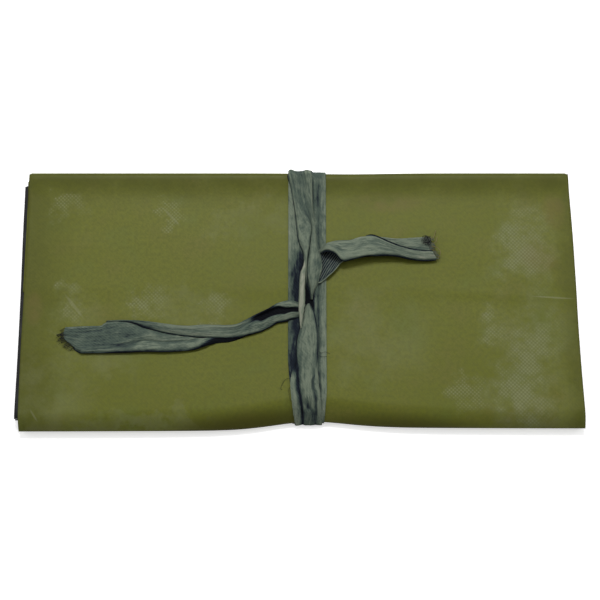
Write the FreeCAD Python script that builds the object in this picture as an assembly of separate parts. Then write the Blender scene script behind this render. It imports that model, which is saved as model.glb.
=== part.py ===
"""Broad field tourniquet, folded and tied for carrying.

A wide rubber band lies zigzag inside a wrapper of rubber-coated fabric. The wrapper is one
sheet folded in three: its far third folds in over the band, and its near third folds back over
both, with its free edge draped on the far fold. A cotton tape goes round the middle twice and
ends in a half knot on top, with two loose tails.

Millimetres. +X runs along the packet, +Y points to the far fold and +Z is up. The sizes are laid
out from the middle of the band, and the finished part is moved so that its origin lies under the
middle of its box.
"""
import FreeCAD
import Part
import math
import os

from FreeCAD import Vector

# Wrapper sheet. Between the band's edges and the start of each fold it leaves some room.
wrapper_length = 365.0
sheet_thickness = 0.9
near_room = 2.1
far_room = 4.7
inner_flap_reach = 84.0
drape_angle = 45.0

# The outer flap's two free corners turn up about creases that run from its far edge to its end.
left_crease_far = 137.0
left_crease_end = 86.0
right_crease_far = 102.0
right_crease_end = 68.0

# Rubber band, folded zigzag.
band_width = 158.0
band_thickness = 1.2
band_leaves = 6
leaf_gap = 0.2
band_proud = 2.5
band_inset = 8.0

# Cotton tape of the tie.
tape_width = 25.0
tape_thickness = 0.5
tie_offset = 4.0

# Upper strand, from the far edge to the knot, and lower strand, from the near edge to it.
upper_strand_width = 16.0
upper_throat_width = 10.0
lower_strand_width = 18.0
lower_throat_width = 12.0
strand_fold_length = 14.0
bunched_thickness = 2.5

# Knot of two laps, side by side on the first turn.
knot_length = 42.0
knot_height = 5.0
knot_offset = 5.0
left_lap_width = 7.5
right_lap_width = 7.5
lap_round = 1.6

# Tails. Each leaves the knot at its exit, and its root slants to a hinge that stands where the
# tape has come down onto the wrapper. Past the hinge the tail slants on while its pleats open.
tail_thickness = 1.5
left_exit_inset = 5.0
left_root_reach = 12.0
left_root_slant = -5.0
left_root_width = 9.0
left_tail_length = 136.0
left_tail_slant = -12.0
left_tail_width = 20.5
left_opening_length = 60.0
right_exit_inset = 7.5
right_root_reach = 14.0
right_root_slant = 8.0
right_root_width = 15.0
right_tail_length = 60.0
right_tail_slant = 6.5
right_tail_width = 17.0
right_opening_length = 26.0

# Fits.
clearance = 0.3

# Heights, from the surface that the part lies on.
under_tape_top = 2 * tape_thickness
base_bottom = under_tape_top + clearance
base_top = base_bottom + sheet_thickness
band_bottom = base_top + clearance
leaf_pitch = band_thickness + leaf_gap
band_top = band_bottom + (band_leaves - 1) * leaf_pitch + band_thickness
inner_flap_bottom = band_top + clearance
inner_flap_top = inner_flap_bottom + sheet_thickness
outer_flap_bottom = inner_flap_top + clearance
outer_flap_top = outer_flap_bottom + sheet_thickness
first_turn_bottom = outer_flap_top + clearance
first_turn_top = first_turn_bottom + tape_thickness

# Folds, as arcs about lines along X. Angles run from +Y towards +Z.
far_fold_radius = (inner_flap_top - base_bottom) / 2
far_fold_y = band_width / 2 + far_room
far_fold_z = base_bottom + far_fold_radius
near_fold_radius = (outer_flap_top - base_bottom) / 2
near_fold_y = -band_width / 2 - near_room
near_fold_z = base_bottom + near_fold_radius
far_edge = far_fold_y + far_fold_radius
drape_radius = far_fold_radius + clearance
tape_far_radius = drape_radius + sheet_thickness + clearance
tape_under_radius = far_fold_radius + clearance
tape_under_y = far_fold_y + tape_far_radius - tape_under_radius
tape_near_radius = near_fold_radius + clearance

# Ends of the packet and edges of the tie.
left_end = -wrapper_length / 2
right_end = wrapper_length / 2
tape_left = tie_offset - tape_width / 2
tape_right = tie_offset + tape_width / 2
knot_near = knot_offset - knot_length / 2
knot_far = knot_offset + knot_length / 2
knot_top = first_turn_top + knot_height
left_exit_y = knot_near + left_exit_inset
right_exit_y = knot_far - right_exit_inset
left_hinge_x = tape_left - left_root_reach
right_hinge_x = tape_right + right_root_reach
tail_bottom = first_turn_bottom
tail_top = tail_bottom + tail_thickness

# The part's box, which the origin is centred under.
box_min_x = left_end - band_proud
box_max_x = right_end
box_min_y = near_fold_y - tape_near_radius - 2 * tape_thickness
box_max_y = far_fold_y + tape_far_radius + 2 * tape_thickness
origin = Vector((box_min_x + box_max_x) / 2, (box_min_y + box_max_y) / 2, 0)


def box(x_range, y_range, z_range):
    """A block between two values on each axis."""
    sizes = [high - low for low, high in (x_range, y_range, z_range)]
    return Part.makeBox(*sizes, Vector(x_range[0], y_range[0], z_range[0]))


def arc_point(centre, radius, angle):
    """The point (y, z) at an angle on an arc about centre."""
    turn = math.radians(angle)
    return centre[0] + radius * math.cos(turn), centre[1] + radius * math.sin(turn)


def arc(centre, radius, start, end):
    """An arc in the plane x = 0, as an edge."""
    points = [arc_point(centre, radius, angle) for angle in (start, (start + end) / 2, end)]
    return Part.Arc(*[Vector(0, y, z) for y, z in points]).toShape()


def line(start, end):
    """A straight edge in the plane x = 0."""
    return Part.LineSegment(Vector(0, *start), Vector(0, *end)).toShape()


def extrude_along_x(edges, x_range):
    """The solid between two x values with a closed outline drawn in the plane x = 0."""
    face = Part.Face(Part.Wire(edges))
    solid = face.extrude(Vector(x_range[1] - x_range[0], 0, 0))
    solid.translate(Vector(x_range[0], 0, 0))
    return solid


def ring_sector(centre, inner, outer, start, end, x_range):
    """Part of a ring about a line along X."""
    edges = [
        arc(centre, outer, start, end),
        line(arc_point(centre, outer, end), arc_point(centre, inner, end)),
        arc(centre, inner, end, start),
        line(arc_point(centre, inner, start), arc_point(centre, outer, start)),
    ]
    return extrude_along_x(edges, x_range)


def prism(points, z_range):
    """A solid with an outline of (x, y) points between two heights."""
    loop = [Vector(x, y, z_range[0]) for x, y in points + points[:1]]
    return Part.Face(Part.makePolygon(loop)).extrude(Vector(0, 0, z_range[1] - z_range[0]))


def section_across_y(y, centre_x, width, bottom, thickness):
    """A rectangle in a plane of constant y."""
    low, high = centre_x - width / 2, centre_x + width / 2
    top = bottom + thickness
    corners = [(low, bottom), (high, bottom), (high, top), (low, top), (low, bottom)]
    return Part.makePolygon([Vector(x, y, z) for x, z in corners])


def section_across_x(x, centre_y, width, bottom, thickness):
    """A rectangle in a plane of constant x."""
    low, high = centre_y - width / 2, centre_y + width / 2
    top = bottom + thickness
    corners = [(low, bottom), (high, bottom), (high, top), (low, top), (low, bottom)]
    return Part.makePolygon([Vector(x, y, z) for y, z in corners])


def whole_outer_flap():
    """The near third of the sheet, with its free edge bent down over the far fold."""
    centre = (far_fold_y, far_fold_z)
    outer_radius = drape_radius + sheet_thickness
    edge_angle = 90 - drape_angle
    near_low = (near_fold_y, outer_flap_bottom)
    near_high = (near_fold_y, outer_flap_top)
    edges = [
        line(near_low, arc_point(centre, drape_radius, 90)),
        arc(centre, drape_radius, 90, edge_angle),
        line(arc_point(centre, drape_radius, edge_angle), arc_point(centre, outer_radius, edge_angle)),
        arc(centre, outer_radius, edge_angle, 90),
        line(arc_point(centre, outer_radius, 90), near_high),
        line(near_high, near_low),
    ]
    return extrude_along_x(edges, (left_end, right_end))


def crease_points(end_x, far_run, end_run, gap):
    """The ends of a crease, moved in from the corner by gap."""
    side = math.copysign(1, end_x)
    length = math.hypot(far_run, end_run)
    shift_x, shift_y = -side * gap * end_run / length, -gap * far_run / length
    at_far_edge = (end_x - side * far_run + shift_x, far_edge + shift_y)
    at_end = (end_x + shift_x, far_edge - end_run + shift_y)
    return at_far_edge, at_end


def corner_tool(end_x, far_run, end_run, gap):
    """A block over everything beyond a crease, on the corner's side of it."""
    at_far_edge, at_end = crease_points(end_x, far_run, end_run, gap)
    beyond_far = tuple(f + (f - e) / 2 for f, e in zip(at_far_edge, at_end))
    beyond_end = tuple(e + (e - f) / 2 for f, e in zip(at_far_edge, at_end))
    return prism([beyond_far, beyond_end, (beyond_end[0], beyond_far[1])], (base_bottom, knot_top))


def outer_flap_pieces():
    """The outer flap between its creases, and its two free corners."""
    flap = whole_outer_flap()
    creases = {
        "outer_flap_left_corner": (left_end, left_crease_far, left_crease_end),
        "outer_flap_right_corner": (right_end, right_crease_far, right_crease_end),
    }
    pieces = {name: flap.common(corner_tool(*crease, 0)) for name, crease in creases.items()}
    for crease in creases.values():
        flap = flap.cut(corner_tool(*crease, clearance))
    pieces["outer_flap"] = flap
    return pieces


def wrapper_pieces():
    """The sheet's base, its two long folds and its inner flap."""
    ends = (left_end, right_end)
    inner_edge = far_edge - inner_flap_reach
    far_centre = (far_fold_y, far_fold_z)
    near_centre = (near_fold_y, near_fold_z)
    far_inner = far_fold_radius - sheet_thickness
    near_inner = near_fold_radius - sheet_thickness
    return {
        "wrapper_base": box(ends, (near_fold_y, far_fold_y), (base_bottom, base_top)),
        "wrapper_far_fold": ring_sector(far_centre, far_inner, far_fold_radius, -90, 90, ends),
        "wrapper_near_fold": ring_sector(near_centre, near_inner, near_fold_radius, 90, 270, ends),
        "wrapper_inner_flap": box(ends, (inner_edge, far_fold_y), (inner_flap_bottom, inner_flap_top)),
    }


def pressure_band():
    """The rubber band, zigzag from leaf to leaf, as one solid."""
    bend_inner = leaf_gap / 2
    bend_outer = bend_inner + band_thickness
    left = left_end - band_proud
    right = right_end - band_inset
    sides = (-band_width / 2, band_width / 2)
    solids = []
    for leaf in range(band_leaves):
        bottom = band_bottom + leaf * leaf_pitch
        x_range = (left + bend_outer, right - bend_outer)
        solids.append(box(x_range, sides, (bottom, bottom + band_thickness)))
    for bend in range(band_leaves - 1):
        centre_z = band_bottom + bend * leaf_pitch + band_thickness + bend_inner
        at_right = bend % 2 == 0
        centre = Vector(right - bend_outer if at_right else left + bend_outer, sides[0], centre_z)
        outer = Part.makeCylinder(bend_outer, band_width, centre, Vector(0, 1, 0))
        inner = Part.makeCylinder(bend_inner, band_width, centre, Vector(0, 1, 0))
        half_x = (centre.x, centre.x + bend_outer) if at_right else (centre.x - bend_outer, centre.x)
        half = box(half_x, sides, (centre_z - bend_outer, centre_z + bend_outer))
        solids.append(outer.cut(inner).common(half))
    return solids[0].fuse(solids[1:]).removeSplitter()


def far_bend(offset):
    """One turn of the tape round the far edge, offset outwards from the first turn's inside."""
    over = (far_fold_y, far_fold_z)
    under = (tape_under_y, far_fold_z)
    inner_over, inner_under = tape_far_radius + offset, tape_under_radius + offset
    outer_over, outer_under = inner_over + tape_thickness, inner_under + tape_thickness
    edges = [
        arc(over, outer_over, 90, 0),
        arc(under, outer_under, 0, -90),
        line(arc_point(under, outer_under, -90), arc_point(under, inner_under, -90)),
        arc(under, inner_under, -90, 0),
        arc(over, inner_over, 0, 90),
        line(arc_point(over, inner_over, 90), arc_point(over, outer_over, 90)),
    ]
    return extrude_along_x(edges, (tape_left, tape_right))


def near_bend(offset):
    """One turn of the tape round the near edge."""
    inner = tape_near_radius + offset
    centre = (near_fold_y, near_fold_z)
    return ring_sector(centre, inner, inner + tape_thickness, 90, 270, (tape_left, tape_right))


def under_run(top):
    """One turn of the tape under the packet."""
    return box((tape_left, tape_right), (near_fold_y, tape_under_y), (top - tape_thickness, top))


def tape_turns():
    """Both turns of the tape, apart from what lies on top of the first one."""
    top_run = ((tape_left, tape_right), (near_fold_y, far_fold_y), (first_turn_bottom, first_turn_top))
    return {
        "first_turn_top": box(*top_run),
        "first_turn_far": far_bend(0),
        "first_turn_under": under_run(under_tape_top),
        "first_turn_near": near_bend(0),
        "second_turn_far": far_bend(tape_thickness),
        "second_turn_under": under_run(under_tape_top - tape_thickness),
        "second_turn_near": near_bend(tape_thickness),
    }


def strand(edge_y, knot_y, narrow_width, throat_width, throat_x):
    """The tape from a long edge of the packet to the knot, gathered on its way."""
    inward = math.copysign(strand_fold_length, knot_y - edge_y)
    sections = [
        section_across_y(edge_y, tie_offset, tape_width, first_turn_top, tape_thickness),
        section_across_y(edge_y + inward, tie_offset, narrow_width, first_turn_top, 2 * tape_thickness),
        section_across_y(knot_y, throat_x, throat_width, first_turn_top, bunched_thickness),
    ]
    return Part.makeLoft(sections, True, True)


def knot_lap(x_range):
    """One side of the knot: a block with its long top edges and ends rounded."""
    lap = box(x_range, (knot_near, knot_far), (first_turn_top, knot_top))
    top_edges = [e for e in lap.Edges if min(v.Z for v in e.Vertexes) > knot_top - lap_round]
    return lap.makeFillet(min(lap_round, knot_height / 3), top_edges)


def tail_root(knot_x, tape_edge, hinge_x, exit_y, slant, width):
    """The tape from the knot, over the first turn's edge, down to the tail's hinge."""
    outward = math.copysign(1, hinge_x - knot_x)
    share = (tape_edge - knot_x) / (hinge_x - knot_x)
    sections = [
        section_across_x(knot_x, exit_y, width, first_turn_top, bunched_thickness),
        section_across_x(tape_edge + outward * clearance, exit_y + slant * share, width,
                         first_turn_top, bunched_thickness),
        section_across_x(hinge_x - outward * clearance, exit_y + slant, width,
                         tail_bottom, tail_thickness),
    ]
    return Part.makeLoft(sections, True, True)


def tail(hinge_x, length, opening_length, start_y, slant, start_width, end_width):
    """A loose end of the tape, flat on the wrapper, widening as its pleats open."""
    outward = math.copysign(1, hinge_x)
    sections = [
        (hinge_x, start_y, start_width),
        (hinge_x + outward * opening_length, start_y + slant, end_width),
        (hinge_x + outward * length, start_y + slant, end_width),
    ]
    far_side = [(x, y + width / 2) for x, y, width in sections]
    near_side = [(x, y - width / 2) for x, y, width in reversed(sections)]
    return prism(far_side + near_side, (tail_bottom, tail_top))


def tie_top_pieces():
    """What lies on the first turn: strands, knot, roots and tails."""
    knot_middle = tie_offset + (left_lap_width - right_lap_width) / 2
    knot_left = knot_middle - left_lap_width
    knot_right = knot_middle + right_lap_width
    left_start = left_exit_y + left_root_slant
    right_start = right_exit_y + right_root_slant
    return {
        "upper_strand": strand(far_fold_y, knot_far, upper_strand_width, upper_throat_width,
                               knot_middle + upper_throat_width / 4),
        "lower_strand": strand(near_fold_y, knot_near, lower_strand_width, lower_throat_width,
                               knot_middle),
        "knot_left_lap": knot_lap((knot_left, knot_middle)),
        "knot_right_lap": knot_lap((knot_middle, knot_right)),
        "left_tail_root": tail_root(knot_left, tape_left, left_hinge_x, left_exit_y,
                                    left_root_slant, left_root_width),
        "right_tail_root": tail_root(knot_right, tape_right, right_hinge_x, right_exit_y,
                                     right_root_slant, right_root_width),
        "left_tail": tail(left_hinge_x, left_tail_length, left_opening_length, left_start,
                          left_tail_slant, left_root_width, left_tail_width),
        "right_tail": tail(right_hinge_x, right_tail_length, right_opening_length, right_start,
                           right_tail_slant, right_root_width, right_tail_width),
    }


def main():
    """Build every piece, centre the part over the origin and write one file per piece."""
    pieces = {"pressure_band": pressure_band()}
    pieces.update(wrapper_pieces())
    pieces.update(outer_flap_pieces())
    pieces.update(tape_turns())
    pieces.update(tie_top_pieces())
    os.makedirs("parts", exist_ok=True)
    for name, shape in pieces.items():
        solid = shape.Solids[0] if len(shape.Solids) == 1 else shape
        solid.translate(-origin)
        solid.exportStep(f"parts/{name}.step")
        print(f"{name}: valid {solid.isValid()}, solids {len(solid.Solids)}, {solid.Volume:.0f} mm3")


main()
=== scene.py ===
"""Dress of the folded field tourniquet: coated cover, rubber band and knotted cotton tape.

Lengths are in millimetres until a mesh is made. The frame is the CAD's: +X along the packet,
+Y to its far fold, +Z up, origin on the floor under the middle.
"""
import math

import bpy
import numpy as np
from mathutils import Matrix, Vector, noise


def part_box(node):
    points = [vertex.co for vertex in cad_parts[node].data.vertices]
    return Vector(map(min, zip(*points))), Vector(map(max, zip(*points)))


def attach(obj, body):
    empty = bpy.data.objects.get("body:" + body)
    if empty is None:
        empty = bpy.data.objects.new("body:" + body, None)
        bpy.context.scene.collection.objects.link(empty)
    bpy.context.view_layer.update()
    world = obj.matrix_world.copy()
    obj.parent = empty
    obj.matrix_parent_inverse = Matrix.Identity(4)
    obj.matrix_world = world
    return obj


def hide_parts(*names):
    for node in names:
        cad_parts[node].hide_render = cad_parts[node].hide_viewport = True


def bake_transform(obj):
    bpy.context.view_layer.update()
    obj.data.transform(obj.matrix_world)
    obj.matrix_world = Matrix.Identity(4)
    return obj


MM = 0.001
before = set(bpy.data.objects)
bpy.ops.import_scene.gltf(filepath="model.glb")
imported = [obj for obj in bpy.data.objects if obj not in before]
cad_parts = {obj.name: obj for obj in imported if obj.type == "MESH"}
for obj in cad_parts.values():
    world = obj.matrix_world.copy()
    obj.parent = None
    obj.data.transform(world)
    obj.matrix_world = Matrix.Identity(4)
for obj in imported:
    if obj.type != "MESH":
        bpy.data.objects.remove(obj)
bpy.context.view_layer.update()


def node_box(node):
    """A node's lowest and highest corners, in millimetres."""
    low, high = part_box(node)
    return Vector(low) / MM, Vector(high) / MM


# Places that the cloth follows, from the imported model.
base_low, base_high = node_box("wrapper_base")
far_low, far_high = node_box("wrapper_far_fold")
inner_low, inner_high = node_box("wrapper_inner_flap")
tape_low, tape_high = node_box("first_turn_top")
band_low, band_high = node_box("pressure_band")
LEFT_END, RIGHT_END = base_low.x, base_high.x
BASE_BOTTOM = base_low.z
SHEET = base_high.z - base_low.z
NEAR = node_box("wrapper_near_fold")[0].y
FAR = far_high.y
FAR_Y = far_low.y
FAR_Z = (far_low.z + far_high.z) / 2
FAR_RADIUS = (far_high.z - far_low.z) / 2
FLAP_TOP = node_box("outer_flap")[1].z
INNER_EDGE, INNER_TOP = inner_low.y, inner_high.z
TAPE_LEFT, TAPE_RIGHT = tape_low.x, tape_high.x
TAPE_X = (TAPE_LEFT + TAPE_RIGHT) / 2
TAPE = tape_high.z - tape_low.z

TAPE_WIDTH = 25.0
# Heights of the middle of the tape's two turns over the cover, and the depth of its fine wrinkles.
FIRST = 0.32
SECOND = 0.9
WRINKLE = 0.22
# How far the outer cover goes on under the packet, and how far its free edge stays behind the far
# fold.
NEAR_LAP = 14.0
FREE_EDGE = 2.4


# Shape of the packet ------------

def bell(x, centre, width):
    """A smooth hump of height 1."""
    return math.exp(-((x - centre) / width) ** 2)


def ease(x, low, high):
    """From 0 at low to 1 at high, smoothly."""
    t = min(max((x - low) / (high - low), 0.0), 1.0)
    return t * t * (3 - 2 * t)


def near_edge(x):
    """The near fold's crest, drawn in by the tie and a little towards the right end."""
    waist = 5.2 * bell(x, TAPE_X, 33) + 0.9 * bell(x, TAPE_X, 90)
    return NEAR + waist + 2.0 * ease(x, -20, 60)


def far_edge(x):
    """The far fold's crest."""
    return FAR - 0.7 * bell(x, TAPE_X + 30, 35)


def left_edge(y):
    """The outer flap's left end."""
    return LEFT_END + 0.4 * math.sin(y / 31)


def right_edge(y):
    """The outer flap's right end, which leans and waves a little."""
    share = (y - NEAR) / (FAR - NEAR)
    return RIGHT_END + 1.3 - 4.9 * share + 0.4 * math.sin(y / 27)


def trimmed(x, y, inside=0.0):
    """An x of the straight packet, moved so that the two cut ends follow their own lines."""
    share = (x - LEFT_END) / (RIGHT_END - LEFT_END)
    return left_edge(y) + inside + (right_edge(y) - left_edge(y) - 2 * inside) * share


def near_reach(x):
    """How far in from the near edge the top starts to fall."""
    return 12.5 + 3 * bell(x, TAPE_X, 75)


def near_crest(x):
    """Height of the near edge's crest: the tie pulls it down."""
    return 5.6 - 2.2 * bell(x, TAPE_X, 60)


def bottom(x):
    """The base's underside: it sags to the floor beside the turns of tape."""
    lifted = 1 - ease(abs(x - TAPE_X), TAPE_RIGHT - TAPE_X, 60)
    return 0.1 + (BASE_BOTTOM - 0.1) * lifted


def near_floor(x):
    """Where the near fold's outer face has come round to the underside."""
    return near_edge(x) + near_crest(x) - bottom(x)


def ripple(x, y):
    """Low waves of the coated fabric."""
    broad = noise.noise(Vector((x / 62, y / 44, 3.1)))
    small = noise.noise(Vector((x / 23, y / 19, 7.7)))
    return 0.45 * broad + 0.12 * small


def plateau(x, y):
    """The outer flap's height away from the near edge."""
    middle = (LEFT_END + RIGHT_END) / 2
    half = (RIGHT_END - LEFT_END) / 2
    ends = 1.1 * ease(abs(x - middle), half - 34, half)
    ramp = 2.6 * ease(y, FAR - 20, FAR + 2)
    edge = max(0.0, y - (far_edge(x) - 6.0))
    under_tie = 0.5 * bell(x, TAPE_X, 22)
    step = 0.5 * ease(INNER_EDGE - y, -4, 9)
    crease = 0.3 * bell(y, INNER_EDGE - 1 - (x - 110) * 0.06, 3.5) * ease(x, 70, 120)
    sunk = ends + step + under_tie + edge * edge / 13
    return FLAP_TOP - 0.8 - sunk + ramp + ripple(x, y) + crease


def cover_top(x, y):
    """The outer flap's upper surface."""
    top = plateau(x, y)
    share = (y - near_edge(x)) / near_reach(x)
    if share >= 1:
        return top
    power = 2.1 - 0.5 * bell(x, TAPE_X, 70)
    crest = near_crest(x)
    return crest + (top - crest) * (1 - (1 - max(share, 0.0)) ** power)


def over(x, y, height):
    """A point over the outer flap."""
    return x, y, cover_top(x, y) + height


def roof(x, y):
    """The underside of the outer flap, with a little air."""
    return cover_top(x, y) - SHEET - 0.25


def round_near(x, angle, offset):
    """A point round the near edge's lower half: 0 at the crest, 90 underneath."""
    radius = near_crest(x) - bottom(x)
    turn = math.radians(angle)
    reach = radius + offset
    return (x, near_edge(x) + radius - reach * math.cos(turn), near_crest(x) - reach * math.sin(turn))


def round_far(x, angle, offset):
    """A point of the tape round the far edge: 90 on top, 0 at the crest, -90 underneath."""
    reach = far_edge(x) + 0.3 + offset - FAR_Y
    upper = cover_top(x, FAR_Y) + offset - FAR_Z
    lower = FAR_Z - bottom(x) + offset
    turn = math.radians(angle)
    height = upper if angle >= 0 else lower
    return x, FAR_Y + reach * math.cos(turn), FAR_Z + height * math.sin(turn)


# Meshes ------------

def refine(rows, steps):
    """A smooth curve through rows along the first axis, with steps stretches between two."""
    rows = np.asarray(rows, float)
    padded = np.concatenate([[2 * rows[0] - rows[1]], rows, [2 * rows[-1] - rows[-2]]])
    fine = []
    for i in range(len(rows) - 1):
        a, b, c, d = padded[i:i + 4]
        for step in range(steps):
            t = step / steps
            cubic = 2 * a - 5 * b + 4 * c - d, 3 * b + d - a - 3 * c
            fine.append((2 * b + (c - a) * t + cubic[0] * t * t + cubic[1] * t ** 3) / 2)
    fine.append(rows[-1])
    return np.array(fine)


def grid_normals(grid):
    """Unit normals of a grid of points."""
    along = np.gradient(grid, axis=0)
    across = np.gradient(grid, axis=1)
    normals = np.cross(across, along)
    return normals / np.maximum(np.linalg.norm(normals, axis=2, keepdims=True), 1e-9)


def lengths(grid, axis):
    """Distance run along an axis of a grid, averaged over the other axis."""
    steps = np.linalg.norm(np.diff(grid, axis=axis), axis=2).mean(axis=1 - axis)
    return np.concatenate([[0.0], np.cumsum(steps)])


def shell(grid, thickness, width=None, shade=None):
    """Vertices, quads, UVs, shades and rim flags of a closed sheet about a grid of middle points."""
    rows, columns = grid.shape[:2]
    half = grid_normals(grid) * thickness / 2
    points = np.concatenate([(grid + half).reshape(-1, 3), (grid - half).reshape(-1, 3)])
    run, cross = lengths(grid, 0), lengths(grid, 1)
    if width:
        cross = cross * width / cross[-1]
    uv = np.stack(np.meshgrid(cross, run), axis=-1).reshape(-1, 2)
    uv = np.concatenate([uv, uv])
    shades = np.full((rows, columns), 0.5) if shade is None else shade
    shades = np.concatenate([shades.reshape(-1)] * 2)
    count = rows * columns
    index = np.arange(count).reshape(rows, columns)
    a, b, c, d = index[:-1, :-1], index[:-1, 1:], index[1:, 1:], index[1:, :-1]
    upper = np.stack([a, b, c, d], axis=-1).reshape(-1, 4)
    lower = np.stack([a, d, c, b], axis=-1).reshape(-1, 4) + count
    loop = np.concatenate([index[0, :-1], index[:-1, -1], index[-1, :0:-1], index[:0:-1, 0]])
    ahead = np.roll(loop, -1)
    rim = np.stack([ahead, loop, loop + count, ahead + count], axis=-1)
    quads = np.concatenate([upper, lower, rim])
    kind = np.concatenate([np.zeros(len(upper)), np.ones(len(lower)), np.full(len(rim), 2)])
    return points, quads, uv, shades, kind.astype(int)


def make_object(name, shells, materials):
    """One mesh from shells; materials are for their upper face, lower face and rim."""
    starts = np.cumsum([0] + [len(part[0]) for part in shells])
    points, quads, uvs, shades, kinds = zip(*shells)
    quads = np.concatenate([part + start for part, start in zip(quads, starts)])
    points, uvs, shades, kinds = (np.concatenate(parts) for parts in (points, uvs, shades, kinds))
    mesh = bpy.data.meshes.new(name)
    mesh.from_pydata((points * MM).tolist(), [], quads.tolist())
    mesh.uv_layers.new(name="cloth").data.foreach_set("uv", (uvs[quads.reshape(-1)] * MM).reshape(-1))
    # Per point: the tape's fading, with its painted shade and highlight.
    mesh.attributes.new("fade_and_painted_shade", "FLOAT", "POINT").data.foreach_set("value", shades.astype(np.float32))
    for material in materials:
        mesh.materials.append(material)
    slots = np.minimum(kinds, len(materials) - 1).astype(np.int32)
    mesh.polygons.foreach_set("material_index", slots)
    mesh.polygons.foreach_set("use_smooth", (kinds < 2))
    mesh.validate()
    mesh.update()
    piece = bpy.data.objects.new(name, mesh)
    bpy.context.scene.collection.objects.link(piece)
    return piece


def wrinkled(grid, depth):
    """Fine creases along a tape and lighter ones across it, as moves along its normals."""
    run, cross = lengths(grid, 0), lengths(grid, 1)
    shift = np.zeros(grid.shape[:2])
    for i, v in enumerate(run):
        for j, u in enumerate(cross):
            along = noise.noise(Vector((u * 0.34, v * 0.07, 1.7)))
            across = noise.noise(Vector((u * 0.12, v * 0.42, 9.1)))
            shift[i, j] = depth * (along + 0.6 * across)
    return grid + grid_normals(grid) * shift[..., None]


def net(rows, steps_along, steps_across, fades_and_painted_shade, width=TAPE_WIDTH):
    """A shell of tape through rows of points, one point per lengthwise line of the tape."""
    rows = np.asarray(rows, float)
    fades_and_painted_shade = np.broadcast_to(np.asarray(fades_and_painted_shade, float), rows.shape[:2])
    joined = np.concatenate([rows, fades_and_painted_shade[..., None]], axis=2)
    fine = refine(joined, steps_along)
    fine = np.swapaxes(refine(np.swapaxes(fine, 0, 1), steps_across), 0, 1)
    grid = wrinkled(fine[..., :3], WRINKLE)
    grid[..., 2] = np.maximum(grid[..., 2], TAPE / 2 + 0.05)
    return shell(grid, TAPE, width, np.clip(fine[..., 3], -1.0, 1.5))


def tube(points, radius):
    """A thin six-sided thread along points, as arrays like a shell's."""
    sides = 6
    path = refine(points, 6)
    ahead = np.gradient(path, axis=0)
    ahead /= np.linalg.norm(ahead, axis=1, keepdims=True)
    side = np.cross(ahead, (0.3, 0.2, 1.0))
    side /= np.linalg.norm(side, axis=1, keepdims=True)
    up = np.cross(side, ahead)
    turns = np.arange(sides) * 2 * math.pi / sides
    rings = path[:, None] + radius * (np.cos(turns)[:, None] * side[:, None]
                                      + np.sin(turns)[:, None] * up[:, None])
    count = len(path)
    index = np.arange(count * sides).reshape(count, sides)
    after = np.roll(index, -1, axis=1)
    quads = np.stack([index[:-1], after[:-1], after[1:], index[1:]], axis=-1).reshape(-1, 4)
    caps = np.array([index[0, [3, 2, 1, 0]], index[0, [5, 4, 3, 0]],
                     index[-1, [0, 1, 2, 3]], index[-1, [0, 3, 4, 5]]])
    quads = np.concatenate([quads, caps])
    uv = np.zeros((count * sides, 2))
    uv[:, 1] = np.repeat(lengths(path[:, None], 0), sides)
    return rings.reshape(-1, 3), quads, uv, np.full(count * sides, 0.5), np.zeros(len(quads), int)


# Materials ------------

# Marks on the cover, in millimetres: each has its middle and its half size, along the packet from
# the packet's middle and across the cloth from its free far edge.
# The waist's two patches are painted shade beside the tie, where the near fold is drawn in.
WAIST_PAINTED_SHADE = (((-30, 176), (66, 17)), ((62, 178), (70, 18)))
STAINS = (((172, 26), (10, 16)), ((160, 57), (16, 13)), ((-174, 92), (8, 14)), ((60, 20), (30, 9)))
RUBBED = (
    ((153, 52), (24, 35)), ((147, 112), (36, 32)), ((110, 150), (18, 16)), ((149, 154), (24, 24)),
    ((-94, 87), (12, 17)), ((-54, 90), (15, 14)), ((-149, 92), (12, 18)), ((-150, 25), (15, 12)),
    ((-84, 28), (14, 11)),
)
CHALKY = (
    ((150, 158), (36, 32)), ((150, 110), (38, 40)), ((-72, 92), (40, 20)), ((-146, 95), (22, 20)),
    ((-36, 34), (30, 14)), ((-128, 128), (30, 17)), ((-160, 152), (34, 30)), ((-100, 168), (60, 9)),
    ((151, 50), (28, 40)), ((52, 112), (46, 38)), ((-20, 32), (46, 14)),
)
# A scuff also has its slope and its strength.
SCUFFS = (
    ((168, 85), (17, 0.8), 0.05, 0.26), ((-147.5, 91), (8, 2.2), 1.2, 0.2),
    ((-85, 30), (7, 2.0), 1.05, 0.16), ((-171, 163), (3, 1.6), 1.5, 0.2),
)
# The tape's colours, from near black (painted shade at hems and in folds) and dark navy (folded in, with
# painted shade), to where its fading is strongest and a highlight is painted, and the values between which
# each takes over from the one before.
TAPE_BLACK = (0.003, 0.004, 0.006)
TAPE_SHADES = (
    (-0.45, 0.0, (0.011, 0.016, 0.025)), (0.0, 0.5, (0.066, 0.092, 0.074)),
    (0.45, 1.0, (0.168, 0.202, 0.148)), (1.0, 1.4, (0.29, 0.305, 0.235)),
)


class Value:
    """A number in a material's node tree, so that sums of such numbers are written as sums."""

    def __init__(self, nodes, socket):
        self.nodes = nodes
        self.socket = socket

    def __add__(self, other):
        return self.nodes.math("ADD", self, other)

    def __sub__(self, other):
        return self.nodes.math("SUBTRACT", self, other)

    def __rsub__(self, other):
        return self.nodes.math("SUBTRACT", other, self)

    def __mul__(self, other):
        return self.nodes.math("MULTIPLY", self, other)

    def ramp(self, low, high):
        """0 at low, 1 at high, and smooth between them."""
        inputs = {"Value": self, "From Min": low, "From Max": high}
        node = self.nodes.add("ShaderNodeMapRange", inputs, interpolation_type="SMOOTHSTEP")
        return Value(self.nodes, node.outputs["Result"])

    def swing(self, depth):
        """A noise from 0 to 1 as a change about zero."""
        return (self - 0.5) * depth

    def wave(self, period):
        """A sine of a length in metres, from -1 to 1."""
        return self.nodes.math("SINE", self * (2 * math.pi / period))


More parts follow.
